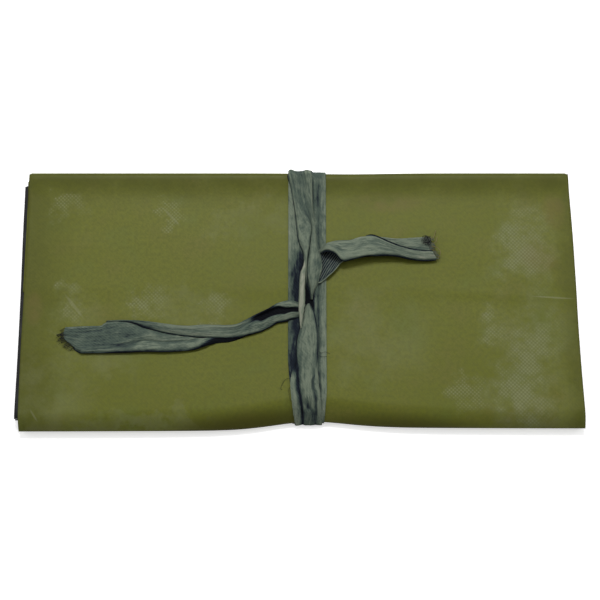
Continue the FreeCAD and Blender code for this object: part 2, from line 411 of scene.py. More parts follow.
class Nodes:
    """Short calls for building one material's node tree. A plain colour is red, green and blue."""

    def __init__(self, name):
        self.material = bpy.data.materials.new(name)
        self.material.use_nodes = True
        self.tree = self.material.node_tree
        self.shader = self.tree.nodes["Principled BSDF"]

    def add(self, kind, inputs=(), **settings):
        node = self.tree.nodes.new(kind)
        for key, value in settings.items():
            setattr(node, key, value)
        for key, value in dict(inputs).items():
            self.put(node.inputs[key], value)
        return node

    def put(self, socket, value):
        if isinstance(value, Value):
            value = value.socket
        if isinstance(value, bpy.types.NodeSocket):
            self.tree.links.new(value, socket)
        else:
            socket.default_value = value

    def math(self, operation, *values):
        node = self.add("ShaderNodeMath", operation=operation)
        for socket, value in zip(node.inputs, values):
            self.put(socket, value)
        return Value(self, node.outputs[0])

    def strongest(self, values):
        top = values[0]
        for value in values[1:]:
            top = self.math("MAXIMUM", top, value)
        return top

    def mix(self, share, under, over):
        node = self.add("ShaderNodeMix", data_type="RGBA")
        for key, value in ((0, share), (6, under), (7, over)):
            self.put(node.inputs[key], (*value, 1) if isinstance(value, tuple) else value)
        return node.outputs[2]

    def noise(self, vector, scale, detail=3.0, roughness=0.5):
        inputs = {"Vector": vector, "Scale": scale, "Detail": detail, "Roughness": roughness}
        return Value(self, self.add("ShaderNodeTexNoise", inputs).outputs["Fac"])

    def cloth_uv(self):
        """The cloth's own coordinates in metres, as a vector and its two parts."""
        vector = self.add("ShaderNodeUVMap", uv_map="cloth").outputs["UV"]
        parts = self.add("ShaderNodeSeparateXYZ", {0: vector})
        return vector, Value(self, parts.outputs[0]), Value(self, parts.outputs[1])

    def spots(self, u, v, places):
        """The strongest of several oval patches: 1 in the middle of one and 0 outside it."""
        patches = []
        for centre, size in places:
            squares = []
            for value, middle, half in zip((u, v), centre, size):
                share = self.math("DIVIDE", value - middle * MM, half * MM)
                squares.append(self.math("POWER", share, 2.0))
            patches.append((squares[0] + squares[1]).ramp(1.0, 0.0))
        return self.strongest(patches)

    def bump(self, height, distance, strength=1.0, normal=None):
        inputs = {"Height": height, "Distance": distance, "Strength": strength}
        if normal is not None:
            inputs["Normal"] = normal
        return self.add("ShaderNodeBump", inputs).outputs["Normal"]

    def finish(self, **inputs):
        for key, value in inputs.items():
            self.put(self.shader.inputs[key.replace("_", " ")], value)
        return self.material


def clean_olive(nodes, vector, cloud, grain):
    """The coating's colour where nothing has marked it."""
    broad = nodes.noise(vector, 9.0, 2.0)
    olive = nodes.mix(broad.ramp(0.35, 0.65), (0.124, 0.136, 0.0155), (0.134, 0.145, 0.0185))
    olive = nodes.mix(cloud.ramp(0.5, 0.72) * 0.5, olive, (0.138, 0.126, 0.03))
    olive = nodes.mix(cloud.ramp(0.48, 0.3) * 0.4, olive, (0.105, 0.14, 0.03))
    return nodes.mix(grain.ramp(0.35, 0.7), olive, (0.107, 0.117, 0.018))


def stained_and_shaded_olive(nodes, olive, u, v, smoke, waist):
    """The colour with painted shade along three edges and beside the tie, and a few brown stains."""
    ragged = smoke.swing(0.03)
    # Painted shade: darker towards the far edge and both ends of the cover.
    far = (v + ragged).ramp(0.03, -0.01)
    left = (u + ragged).ramp((LEFT_END + 38) * MM, LEFT_END * MM)
    right = (u + ragged).ramp((RIGHT_END - 17) * MM, RIGHT_END * MM)
    painted_edge_shade = nodes.strongest([far * 0.85, left * 0.5, right * 0.5])
    olive = nodes.mix(painted_edge_shade, olive, (0.056, 0.06, 0.006))
    # Painted shade beside the tie.
    olive = nodes.mix(waist * 0.8, olive, (0.044, 0.041, 0.0012))
    stain = nodes.spots(u, v, STAINS) * smoke.ramp(0.35, 0.6)
    return nodes.mix(stain * 0.55, olive, (0.14, 0.113, 0.03))


def cover_material():
    """Olive rubber-coated cotton: satin, with painted shade along three edges, chalky where it has rubbed.
    """
    nodes = Nodes("coated cover")
    vector, u, v = nodes.cloth_uv()
    weave = u.wave(0.0025) * v.wave(0.0025)
    cloud = nodes.noise(vector, 34.0, 4.0, 0.6)
    smoke = nodes.noise(vector, 38.0, 7.0, 0.66)
    drift = nodes.noise(vector, 55.0, 5.0, 0.62)
    grain = nodes.noise(vector, 420.0, 4.0, 0.7)
    # Painted shade beside the tie, where the near fold is drawn in.
    waist = nodes.spots(u, v, WAIST_PAINTED_SHADE)
    colour = stained_and_shaded_olive(nodes, clean_olive(nodes, vector, cloud, grain), u, v, smoke, waist)

    wander = u + smoke.swing(0.06), v + drift.swing(0.06)
    rubbed = nodes.spots(*wander, RUBBED)
    chalky = nodes.spots(*wander, CHALKY) * smoke.ramp(0.3, 0.62)
    haze = nodes.strongest([rubbed * smoke.ramp(0.36, 0.7), smoke.ramp(0.52, 0.85) * 0.3])
    haze = (haze + chalky * 0.75) * (1.0 - waist)
    colour = nodes.mix(haze * 0.24, colour, (0.25, 0.265, 0.17))
    for centre, size, slope, strength in SCUFFS:
        slanted = v - (u - centre[0] * MM) * slope
        scuff = nodes.spots(u, slanted, ((centre, size),))
        colour = nodes.mix(scuff * strength, colour, (0.3, 0.31, 0.2))

    bare = rubbed.ramp(0.0, 0.9) * smoke.ramp(0.4, 0.62)
    knuckles = bare * weave.ramp(0.0, 0.8)
    colour = nodes.mix(knuckles * 0.2, colour, (0.34, 0.35, 0.22))
    pits = bare * weave.ramp(0.0, -0.8)
    colour = nodes.mix(pits * 0.18, colour, (0.05, 0.055, 0.015))
    rough = haze * 0.2 + 0.5 + grain * 0.08
    normal = nodes.bump(weave, 0.00004, bare * 0.5 + 0.2)
    normal = nodes.bump(grain, 0.00006, 0.35, normal)
    normal = nodes.bump(cloud, 0.0008, 0.25, normal)
    return nodes.finish(Base_Color=colour, Roughness=rough, Normal=normal, Specular_IOR_Level=0.2)


def lining_material():
    """The sheet's inner face: thinner coating, greyer, with more of the weave."""
    nodes = Nodes("cover lining")
    vector, u, v = nodes.cloth_uv()
    weave = u.wave(0.0028) * v.wave(0.0028)
    cloud = nodes.noise(vector, 40.0, 4.0)
    colour = nodes.mix(cloud.ramp(0.35, 0.65), (0.075, 0.085, 0.035), (0.10, 0.11, 0.05))
    colour = nodes.mix(weave.ramp(0, 1) * 0.3, colour, (0.15, 0.16, 0.09))
    return nodes.finish(Base_Color=colour, Roughness=0.75, Normal=nodes.bump(weave, 0.00008, 0.8))


def cut_edge_material():
    """The sheet's cut edge: pale cotton threads between two dark coats."""
    nodes = Nodes("cover cut edge")
    threads = nodes.noise(nodes.cloth_uv()[0], 900.0, 2.0)
    colour = nodes.mix(threads.ramp(0.4, 0.6), (0.03, 0.035, 0.022), (0.085, 0.095, 0.07))
    return nodes.finish(Base_Color=colour, Roughness=0.85, Normal=nodes.bump(threads, 0.0002))


def rubber_material():
    """Black sheet rubber with a little bloom and talc."""
    nodes = Nodes("black rubber")
    vector = nodes.cloth_uv()[0]
    bloom = nodes.noise(vector, 45.0, 5.0, 0.65)
    grain = nodes.noise(vector, 700.0, 2.0)
    colour = nodes.mix(bloom.ramp(0.45, 0.75), (0.006, 0.006, 0.0065), (0.03, 0.031, 0.03))
    normal = nodes.bump(grain, 0.00008, 0.5)
    return nodes.finish(Base_Color=colour, Roughness=bloom * 0.25 + 0.48, Normal=normal)


def tape_material(name, contrast, period):
    """Grey-green cotton twill tape: lighter on its crests, from fading and a painted highlight; dark navy
    where it was folded in, and near black at its hems and in its folds, which is painted shade.
    """
    nodes = Nodes(name)
    vector, u, v = nodes.cloth_uv()
    fade_and_painted_shade = Value(nodes, nodes.add("ShaderNodeAttribute", attribute_name="fade_and_painted_shade").outputs["Fac"])
    twill = (u + v * 0.8).wave(period)
    stretched = nodes.add("ShaderNodeMapping", {"Vector": vector, "Scale": (1.0, 0.2, 1.0)}).outputs[0]
    fibre = nodes.noise(vector, 1300.0, 3.0, 0.7)
    streak = nodes.noise(stretched, 700.0, 3.0, 0.6)
    pleat = nodes.noise(stretched, 330.0, 2.0, 0.5)
    blotch = nodes.noise(vector, 170.0, 5.0, 0.65)
    # Lighter along both edges of the tape: a painted highlight.
    selvedge_highlight = nodes.math("ABSOLUTE", u - TAPE_WIDTH / 2 * MM).ramp(0.0106, 0.0116)
    mottled_fade_and_shade = fade_and_painted_shade + blotch.swing(0.7) + streak.swing(1.15) + pleat.swing(0.8) + selvedge_highlight * 0.14
    colour = TAPE_BLACK
    for low, high, lighter in TAPE_SHADES:
        colour = nodes.mix(mottled_fade_and_shade.ramp(low, high), colour, lighter)
    shown = fade_and_painted_shade.ramp(0.3, 0.05) * contrast + fade_and_painted_shade.ramp(0.1, 0.5) * 0.1
    ridge = twill.ramp(0.0, 0.9) * shown * fade_and_painted_shade.ramp(-0.3, 0.0)
    colour = nodes.mix(ridge, colour, (0.13, 0.155, 0.125))
    normal = nodes.bump(twill, 0.00012, 0.5)
    for height, distance, strength in ((v.wave(0.0008), 0.00004, 0.5), (fibre, 0.00025, 0.5),
                                       (streak, 0.0007, 0.8), (pleat, 0.0012, 0.7)):
        normal = nodes.bump(height, distance, strength, normal)
    return nodes.finish(Base_Color=colour, Roughness=0.9, Normal=normal, Specular_IOR_Level=0.12)


def thread_material(name, colour):
    """A loose cotton thread."""
    nodes = Nodes(name)
    ply = nodes.cloth_uv()[2].wave(0.0006).ramp(-1, 1)
    shade = nodes.mix(ply * 0.4, colour, tuple(part * 0.4 for part in colour))
    return nodes.finish(Base_Color=shade, Roughness=0.9)


COVER = cover_material()
LINING = lining_material()
CUT_EDGE = cut_edge_material()
RUBBER = rubber_material()
TAPE_CLOTH = tape_material("cotton tape", 0.03, 0.0019)
TAPE_INSIDE = tape_material("cotton tape inside", 0.8, 0.0029)
GREEN_THREAD = thread_material("green thread", (0.09, 0.11, 0.085))
DARK_THREAD = thread_material("dark thread", (0.007, 0.008, 0.009))
BROWN_THREAD = thread_material("brown thread", (0.2, 0.15, 0.07))


# Cover ------------

def sheet_rows(x_values, steps, place, inside=0.0):
    """Rows of the sheet, one for each step: place gives the y and height at an x and a step."""
    rows = []
    for step in steps:
        row = []
        for x in x_values:
            y, z = place(x, step)
            row.append((trimmed(x, y, inside), y, z))
        rows.append(row)
    return rows


def flap_place(x, share):
    """The outer flap, from its free edge at 0 to the near edge at 1."""
    start, end = far_edge(x) - FREE_EDGE, near_edge(x)
    y = start + (end - start) * share
    return y, cover_top(x, y)


def near_fold_place(x, angle):
    """The near fold's outer face."""
    return round_near(x, angle, 0)[1:]


def near_lap_place(x, reach):
    """The strip that the outer cover's halves have under the packet."""
    return near_floor(x) + reach, bottom(x)


def base_place(x, share):
    """The rest of the base, from the near lap at 0 to the far fold at 1."""
    start = near_floor(x) + NEAR_LAP
    return start + (FAR_Y - start) * share, bottom(x)


def far_fold_place(x, angle):
    """The far fold: -90 underneath, 0 at the crest, 90 on top."""
    turn = math.radians(angle)
    height = FAR_Z - bottom(x) if angle < 0 else FAR_RADIUS
    return FAR_Y + (far_edge(x) - FAR_Y) * math.cos(turn), FAR_Z + height * math.sin(turn)


def inner_flap_place(x, share):
    """The inner flap, from the far fold at 0 to its free edge at 1, under the outer flap."""
    y = FAR_Y + (INNER_EDGE - FAR_Y) * share
    return y, min(INNER_TOP, roof(x, y))


def outer_cover(name, x_values):
    """One half of the outer flap, with its stretch of the near fold."""
    shares = np.concatenate([np.linspace(0, 0.80, 62), np.linspace(0.80, 1.0, 31)[1:]])
    rows = sheet_rows(x_values, shares, flap_place)
    rows += sheet_rows(x_values, range(15, 91, 15), near_fold_place)
    rows += sheet_rows(x_values, (4.0, 8.0, NEAR_LAP), near_lap_place)
    surface = np.array(rows)
    points, quads, uv, shades, kinds = shell(surface + grid_normals(surface) * SHEET / 2, SHEET)
    along_packet = uv + np.array([x_values[0], 0.0])
    piece = make_object(name, [(points, quads, along_packet, shades, kinds)], [LINING, COVER, CUT_EDGE])
    coat_seam(piece)
    return piece


def coat_seam(piece):
    """Gives the coating to the rim that meets the other half under the tie: no cut is there."""
    coating, cut_edge, near_seam = 1, 2, 1.5
    vertices = piece.data.vertices
    for face in piece.data.polygons:
        reach = max(abs(vertices[i].co.x / MM - TAPE_X) for i in face.vertices)
        if face.material_index == cut_edge and reach < near_seam:
            face.material_index = coating


def inner_cover():
    """The rest of the sheet: the base, the far fold and the inner flap."""
    x_values = np.linspace(LEFT_END, RIGHT_END, 120)
    rows = sheet_rows(x_values, np.linspace(0, 1, 50), base_place, 0.8)
    rows += sheet_rows(x_values, range(-75, 91, 15), far_fold_place, 0.8)
    for row in sheet_rows(x_values, np.linspace(0, 1, 30)[1:], inner_flap_place, 1.2):
        rows.append([(x - 2.1 * ease(-x, -LEFT_END - 20, -LEFT_END), y, z) for x, y, z in row])
    surface = np.array(rows)
    part = shell(surface + grid_normals(surface) * SHEET / 2, SHEET)
    return make_object("cover_inner", [part], [LINING, COVER, CUT_EDGE])


def build_cover():
    """The two halves of the outer cover, and the rest of the sheet under and inside them."""
    for side, start, end, curl, nodes in (
            ("left", LEFT_END, TAPE_X, 40, ("outer_flap_left_corner", "wrapper_near_fold")),
            ("right", TAPE_X, RIGHT_END, 32, ("outer_flap_right_corner", "outer_flap"))):
        half = outer_cover("cover_" + side, np.linspace(start, end, 94))
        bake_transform(half)
        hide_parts(*nodes)

    inner = inner_cover()
    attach(inner, "wrapper")
    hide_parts("wrapper_base", "wrapper_far_fold", "wrapper_inner_flap")


# Rubber band ------------

def pressed(x, y, z):
    """A point of the band, squeezed down and in where the tie draws the cover tight."""
    inward = near_edge(x) + SHEET + 1.6
    share = (y - band_low.y) / (band_high.y - band_low.y)
    y = max(band_low.y, inward) + (band_high.y - max(band_low.y, inward)) * share
    top = min(roof(x, y) - (SHEET + 0.25) * ease(y, INNER_EDGE - 6, INNER_EDGE), band_high.z)
    floor = bottom(x) + SHEET + 0.1
    level = (z - band_low.z) / (band_high.z - band_low.z)
    return x, y, floor + (top - floor) * level


def build_band():
    """The band's leaves and bends, drawn as one path and spread across its width."""
    leaves, thick = 6, 1.2
    pitch = (band_high.z - band_low.z - thick) / (leaves - 1)
    # How far each end stays short of the longest, as in hand-folded rubber.
    short = (0.0, 1.4, 0.5, 1.9, 0.3, 1.1, 0.8)
    path = []
    for leaf in range(leaves):
        z = band_low.z + thick / 2 + leaf * pitch
        ends = [band_low.x - 0.7 + short[leaf], band_high.x - 0.7 - short[leaf + 1]]
        start, end = ends if leaf % 2 == 0 else ends[::-1]
        for share in np.linspace(0, 1, 40):
            path.append((start + (end - start) * share, z))
        if leaf < leaves - 1:
            side = 1 if leaf % 2 == 0 else -1
            for angle in (-45, 0, 45):
                turn = math.radians(angle)
                path.append((end + side * pitch / 2 * math.cos(turn), z + pitch / 2 * (1 + math.sin(turn))))
    rows = []
    for x, z in path:
        y_values = np.linspace(band_low.y, band_high.y, 24)
        rows.append([pressed(x + 0.25 * math.sin(y / 23 + z), y, z) for y in y_values])
    # The leaves are drawn a little thin, so that they show apart.
    part = shell(np.array(rows), thick * 0.8)
    band = make_object("folded_band", [part], [RUBBER])
    for polygon in band.data.polygons:
        polygon.use_smooth = True
    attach(band, "band")
    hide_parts("pressure_band")


# Tape ------------

# The two strands of the second turn over the cover: at each y, the x of every lengthwise line of
# the tape and its height.
UPPER_Y = (83, 72, 59, 48, 38.3, 30, 24.5, 19, 12.8, 7.3, 2.5, -2.3)
UPPER_LINES = (
    (-5.4, -7, -5.6, -3, 0.4, 3.4, 5.2, 8.3, 6.6),
    (-2.8, -4.5, -3.2, -0.6, 2.4, 5, 7, 8.6, 7),
    (-0.8, -2.4, -1.3, 1.2, 4.6, 7, 8.2, 9.1, 7.4),
    (0.3, -1.2, 0, 6.9, 8.1, 8.7, 9.5, 10.3, 8.6),
    (1.6, 0.1, 1.4, 6.4, 7.4, 8.1, 10, 11.6, 9.8),
    (4, 2.9, 3.6, 5.7, 6.6, 7.3, 11, 13.7, 11.6),
    (4.4, 3.5, 4, 5, 5.8, 6.5, 10.8, 14.5, 12.4),
    (4.6, 3.8, 4.2, 4.8, 5.5, 6.2, 10.6, 15, 13),
    (4.8, 4.1, 4.4, 4.7, 5.2, 6, 9.8, 13.7, 12.4),
    (5.6, 5, 5.2, 5.5, 5.8, 7.6, 9.4, 11.6, 10.8),
    (7.2, 6.9, 7, 7.2, 7.4, 7.9, 8.6, 9.4, 9),
    (7.6, 7.5, 7.6, 7.7, 7.8, 8, 8.2, 8.5, 8.3),
)
UPPER_HEIGHTS = (
    (0.9, 1.3, 2, 1.4, 1.2, 1.5, 2, 1.5, 0.9),
    (0.9, 1.4, 2, 1.7, 1.5, 1.8, 2.2, 1.6, 0.9),
    (0.9, 1.5, 2.2, 1.9, 1.7, 2.2, 2.5, 1.7, 0.9),
    (0.9, 1.5, 2.2, 2.2, 1.2, 2.5, 2.8, 1.8, 0.9),
    (0.9, 1.6, 2.6, 2.6, 0.9, 2.9, 3.3, 1.9, 0.9),
    (0.9, 1.8, 2.9, 2.8, 0.8, 3.1, 3.9, 2, 1),
    (0.9, 1.9, 3, 2.8, 0.8, 3.3, 4.3, 2.2, 1.1),
    (0.9, 1.8, 2.8, 2.6, 0.8, 3.4, 4.5, 2.4, 1.2),
    (0.9, 1.6, 2.4, 2.2, 0.7, 3.4, 4.4, 2.3, 1.2),
    (0.8, 1.2, 1.6, 1.5, 0.7, 3.2, 4, 2.1, 1.1),
    (0.8, 1, 1.2, 1.1, 0.8, 2.6, 3.2, 1.9, 1.1),
    (0.8, 0.9, 1, 1, 0.9, 1.6, 2, 1.5, 1),
)
LOWER_Y = (-77, -73.5, -68, -60, -54, -48, -40, -30, -21, -13, -8.5, -5)
LOWER_LINES = (
    (-2.9, -3.7, -2.4, 0.2, 2, 3.3, 6, 9.6, 11.4, 12.6, 14.3, 13.2),
    (-3.3, -4.2, -2.8, -0.2, 1.7, 3.6, 5.6, 8.4, 10.9, 12.4, 14.1, 13),
    (-3.9, -4.9, -3.4, -1, 0.9, 2.4, 4.6, 8.2, 10.5, 12.2, 13.8, 12.8),
    (-4.6, -5.6, -4.4, -2.7, -0.6, 1.3, 4, 7.2, 8.8, 11, 12.8, 11.8),
    (-4.4, -5.2, -4.2, -2.6, -1, 0.7, 3.6, 7.4, 9.6, 11, 12.3, 11.4),
    (-3.6, -4.2, -3.4, -2.2, -1, 0.4, 3.4, 7.8, 10.2, 11.2, 11.9, 11),
    (-2.4, -2.8, -2.2, -1.6, -1.2, -0.8, 2.8, 8, 10.8, 11.6, 12.1, 11),
    (-1.6, -1.9, -1.6, -1.3, -1, -0.8, 2.6, 8, 11, 11.8, 12.3, 11.2),
    (0.2, 0, 0.3, 0.6, 0.9, 1.2, 3.8, 8, 10.4, 11.2, 11.8, 10.8),
    (1.8, 1.6, 1.8, 2, 2.2, 2.5, 4, 7.4, 9.2, 9.8, 10.2, 9.6),
    (3.4, 3.2, 3.3, 3.4, 3.5, 3.6, 4.8, 6.8, 7.9, 8.3, 8.7, 8.2),
    (5.4, 5.2, 5.3, 5.4, 5.5, 5.6, 5.8, 6.2, 6.5, 6.7, 6.8, 6.6),
)
LOWER_HEIGHTS = (
    (0.9, 1.3, 2, 1.6, 0.7, 1.5, 2.9, 1.9, 1.6, 2.2, 1.4, 0.9),
    (0.9, 1.3, 2, 1.6, 0.7, 2.2, 2.1, 2.7, 1.7, 2.2, 1.4, 0.9),
    (0.9, 1.3, 2, 1.6, 0.7, 2, 3.2, 3.1, 1.7, 2.2, 1.4, 0.9),
    (0.9, 1.2, 1.7, 1.3, 0.7, 2.1, 3.2, 3.1, 1.9, 2.4, 1.4, 0.9),
    (0.8, 1.1, 1.4, 1.1, 0.7, 2.1, 3.2, 3.2, 2.4, 2.4, 1.4, 0.9),
    (0.7, 0.8, 0.9, 0.8, 0.7, 2, 3.2, 3.3, 2.6, 2.3, 1.5, 0.9),
    (0.7, 0.8, 0.8, 0.7, 0.8, 1.8, 3.2, 3.4, 2.8, 2.2, 1.5, 0.9),
    (0.7, 0.8, 0.8, 0.8, 0.9, 1.8, 3.2, 3.5, 2.9, 2.2, 1.5, 0.9),
    (0.7, 0.8, 0.8, 0.8, 0.9, 1.8, 3.1, 3.4, 2.8, 2.2, 1.5, 0.9),
    (0.7, 0.8, 0.8, 0.9, 1, 1.6, 2.8, 3.2, 2.4, 2, 1.4, 0.9),
    (0.7, 0.8, 0.8, 0.8, 0.9, 1.2, 2.2, 2.6, 2, 1.6, 1.2, 0.9),
    (0.7, 0.8, 0.8, 0.8, 0.8, 0.9, 1.2, 1.4, 1.2, 1, 0.9, 0.8),
)
# The knot's lap: y, middle x, half width, height of its top and of its foot.
LAP = (
    (25, 4.2, 0.528, 2.4, 0.9), (19.6, 3.4, 0.88, 3.4, 1.2), (15, 2.4, 1.408, 4.4, 1.6),
    (6.5, 1.9, 1.672, 5, 2.4), (-3.8, 1.7, 1.848, 5.4, 3), (-10, 1.3, 1.496, 5.1, 3),
    (-14.5, 1.2, 1.012, 4.5, 2.4), (-19, 1.2, 0.484, 3.5, 1.8), (-22, 1.3, 0.264, 2.6, 1.4),
)

# The tails' layers: at each x, the name of a row of heights and the y of every lengthwise line.
LEFT_FLAP_HEIGHTS = {
    "knot": (1, 1.6, 2.1, 1.5, 1.4, 2.1, 1.5, 0.9), "crossing": (1.1, 2.1, 2.9, 1.5, 1.4, 2.9, 2, 0.9),
    "pleated": (0.8, 1.9, 2.9, 0.9, 0.5, 2.9, 1.9, 0.6), "closing": (0.8, 1.7, 2.5, 1.4, 0.9, 2.8, 2, 0.7),
    "meeting": (0.9, 1.6, 2.2, 2, 1.9, 2.6, 2, 0.8), "flat": (1, 1.7, 2.2, 2.1, 2.2, 2.4, 2.1, 1.5),
    "tip": (1.3, 1.6, 1.8, 1.8, 1.8, 1.8, 1.7, 1.5), "end": (1.2, 1.3, 1.4, 1.4, 1.4, 1.4, 1.3, 1.2),
}
LEFT_FLAP = (
    (4, "knot", (-6.4, -5.6, -6.6, -8.4, -9.8, -11, -12.4, -13.4)),
    (-1.5, "knot", (-4.2, -4.6, -6.8, -8.2, -10.4, -11.2, -13.6, -14.4)),
    (-5.4, "crossing", (-2.9, -3.5, -7.2, -8.3, -10.7, -11.6, -14.6, -15.4)),
    (-9.3, "crossing", (-3.5, -4.1, -7.2, -8.2, -12, -12.9, -15.9, -17.1)),
    (-14.5, "pleated", (-4.9, -5.5, -6.6, -7.6, -12.3, -13.3, -16.9, -18.1)),
    (-19, "pleated", (-7.6, -8.2, -8.7, -9.4, -13.8, -15, -19.6, -21.2)),
    (-24.3, "pleated", (-10.4, -10.8, -11.3, -12.2, -16.4, -17.8, -22.4, -24)),
    (-28, "closing", (-12.2, -12.6, -13.2, -14, -16, -17.8, -23.6, -25.1)),
    (-33, "meeting", (-15, -15.6, -16.4, -17.4, -18.6, -20.6, -25.1, -26.4)),
    (-40.6, "flat", (-18.9, -19.3, -20.3, -21.4, -22.5, -24.2, -26.9, -28.2)),
    (-48.4, "flat", (-19.6, -20, -21, -22.1, -23.2, -24.8, -27.3, -28.6)),
    (-61.4, "flat", (-19.5, -20, -21, -22.2, -23.4, -24.8, -26.9, -28)),
    (-74.5, "flat", (-20.2, -20.6, -21.4, -22.5, -23.7, -24.9, -26.1, -27.3)),
    (-87.5, "flat", (-18.8, -19.2, -20, -21, -22, -23, -23.8, -25)),
    (-100.6, "flat", (-17, -17.2, -17.8, -18.6, -19.3, -20, -20.7, -21.8)),
    (-109.7, "tip", (-16.5, -16.7, -16.8, -16.9, -17, -17.2, -17.4, -18.4)),
    (-118, "end", (-16.4, -16.5, -16.6, -16.7, -16.8, -16.9, -17, -17.9)),
    (-126, "end", (-17, -17, -17.1, -17.2, -17.2, -17.3, -17.4, -18.1)),
)
LEFT_UNDER_HEIGHTS = {
    "hidden": (0.6, 0.6, 0.6, 0.7, 0.8, 1.1, 0.9, 0.4), "opening": (0.7, 0.8, 0.8, 0.9, 1, 2.2, 2.2, 1.2),
    "open": (0.8, 1, 1.1, 1.2, 1, 2.4, 2.4, 1.4), "creased": (0.9, 1.3, 1.5, 1.3, 0.8, 2.2, 2.4, 1.4),
    "single": (1.1, 1.3, 1.1, 1.2, 1.3, 2, 2.2, 1.4),
}
LEFT_UNDER = (
    (-30, "hidden", (-17, -18, -19, -20, -21, -22, -22.6, -23.2)),
    (-38, "hidden", (-20, -21, -22, -23, -24, -25.4, -26.8, -27.8)),
    (-46, "hidden", (-21.5, -22.6, -24, -25, -26, -27.4, -29.2, -30.1)),
    (-54, "hidden", (-21.5, -22.6, -24, -25, -26, -27.9, -30, -31)),
    (-61.4, "opening", (-20.5, -22.6, -24.8, -26.4, -27.8, -30, -32.4, -33.4)),
    (-67.5, "opening", (-20.7, -23, -25.4, -27.6, -29.4, -32, -34.7, -35.3)),
    (-75, "open", (-20.9, -23, -26, -28.8, -30.6, -33, -35.7, -36.7)),
    (-87.5, "open", (-19.2, -22.4, -26, -29.4, -30.9, -33.6, -36.2, -37.2)),
    (-100.6, "creased", (-17.4, -21.4, -25.8, -28.8, -30.4, -33.6, -36.1, -37.1)),
    (-110, "creased", (-17, -21.4, -26.2, -30.2, -32, -34.6, -36.6, -37.6)),
    (-118, "single", (-16.9, -21.6, -26.4, -31, -33.2, -35.3, -36.8, -37.8)),
    (-126, "single", (-17.8, -22.4, -27, -31.2, -34, -35.8, -37, -38)),
    (-129.6, "single", (-20, -23, -27.2, -31.3, -34.1, -35.8, -37.1, -38.1)),
    (-135, "single", (-20.2, -23.4, -27.4, -31.2, -34.2, -35.9, -37.1, -38.2)),
    (-141, "single", (-20.4, -24, -27.7, -31.4, -34.2, -36, -37.2, -38.3)),
)
# The slanted rows by a frayed end: x, y and height of each point.
LEFT_UNDER_END = (
    ((-145, -20.6, 1.1), (-145.5, -24.2, 1.3), (-146, -27.8, 1.1), (-146, -31.2, 1.2),
     (-145.6, -33.8, 1.1), (-144.6, -35, 1.4), (-143.2, -36.6, 1.3), (-142, -38, 0.5)),
    ((-149, -20.8, 1), (-149.4, -24.3, 1.3), (-149.8, -27.2, 1.1), (-149.4, -30, 1.2),
     (-148.4, -32.4, 1.1), (-147, -33.6, 1.3), (-145.6, -35.2, 1.2), (-144.4, -36.6, 0.5)),
    ((-152.7, -21, 0.9), (-153.6, -24.2, 1.2), (-153.8, -26.2, 1), (-153, -28.8, 1.1),
     (-151, -30.6, 1), (-149.2, -31.8, 1.1), (-147.2, -33.2, 1), (-146, -34.8, 0.5)),
)
RIGHT_UPPER_HEIGHTS = {
    "knot": (1, 1.4, 1.7, 1.8, 1.8, 1.7, 1.4), "exit": (1.4, 2.6, 3.2, 3.3, 3.2, 3, 2.6),
    "arch": (1.7, 3.1, 4.7, 5.6, 6.4, 6.9, 6.8), "neck": (1.6, 2.8, 4.4, 5.5, 6.4, 6.9, 6.8),
    "turning": (2.6, 3.4, 4.3, 5.2, 5.9, 6.2, 6), "over": (2.9, 3.5, 4.1, 4.7, 5.1, 5.3, 5.1),
    "low": (2.8, 3.3, 3.6, 4.1, 4.4, 4.4, 4.2), "tip": (2.5, 2.9, 3.1, 3.3, 3.4, 3.4, 3.1),
}
RIGHT_UPPER = (
    (10, "knot", (28.5, 29, 28.5, 28, 27.6, 27.2, 26.8)),
    (14, "exit", (30.6, 31.4, 31.2, 30.8, 30.4, 30, 29.6)),
    (17.7, "arch", (34, 35, 34.4, 33.2, 32, 30.6, 30)),
    (21, "arch", (35.4, 36.4, 35.6, 33.8, 32, 30, 29.4)),
    (24.3, "arch", (36.2, 37.2, 36, 33.8, 31, 28.2, 27.4)),
    (28.2, "arch", (36.6, 37.5, 36, 32.8, 28.6, 24, 23.3)),
    (33.8, "neck", (37, 37.8, 36.2, 33, 29, 24.8, 24)),
    (40.2, "neck", (38.8, 39.7, 38, 34.6, 30.6, 26.4, 25.6)),
    (46, "neck", (39.8, 40.4, 38.8, 35.4, 31.4, 27.3, 26.4)),
    (50.2, "turning", (39.4, 39.9, 38.6, 35.6, 31.8, 27.6, 26.8)),
    (57, "turning", (36.3, 36.8, 35.8, 33.6, 30.8, 27.8, 27)),
    (65, "over", (32.9, 33.3, 32.6, 31.2, 29.4, 27.5, 26.7)),
    (73, "low", (30.6, 31, 30.4, 29.2, 27.6, 25.8, 25)),
    (81.4, "tip", (29.4, 29.8, 29.2, 28, 26.6, 25.1, 24.3)),
    (87.4, "tip", (29.1, 29.5, 29, 28, 26.9, 25.3, 24.6)),
)
RIGHT_UPPER_END = (
    ((88, 28.8, 2.5), (88.3, 29, 2.9), (88.6, 28.5, 3.1), (89, 27.7, 3.3),
     (89.5, 26.8, 3.3), (90.3, 25.4, 3.2), (90.7, 24.8, 2.8)),
)
RIGHT_LOWER_HEIGHTS = {
    "knot": (1, 0.9, 0.8, 0.8, 0.9, 1.2, 1.6), "exit": (1.8, 1.1, 0.9, 0.9, 1.1, 1.6, 2.2),
    "mouth": (2.1, 1.3, 1.1, 1.1, 1.5, 2.3, 3), "closing": (2, 1.6, 1.6, 1.8, 2.3, 2.9, 3.3),
    "closed": (1.9, 1.9, 2, 2.2, 2.4, 2.6, 2.8), "flat": (2.3, 2.2, 2.3, 2.3, 2.3, 2.3, 2.4),
    "end": (2, 2.1, 2, 2.1, 2, 1.9, 1.8),
}
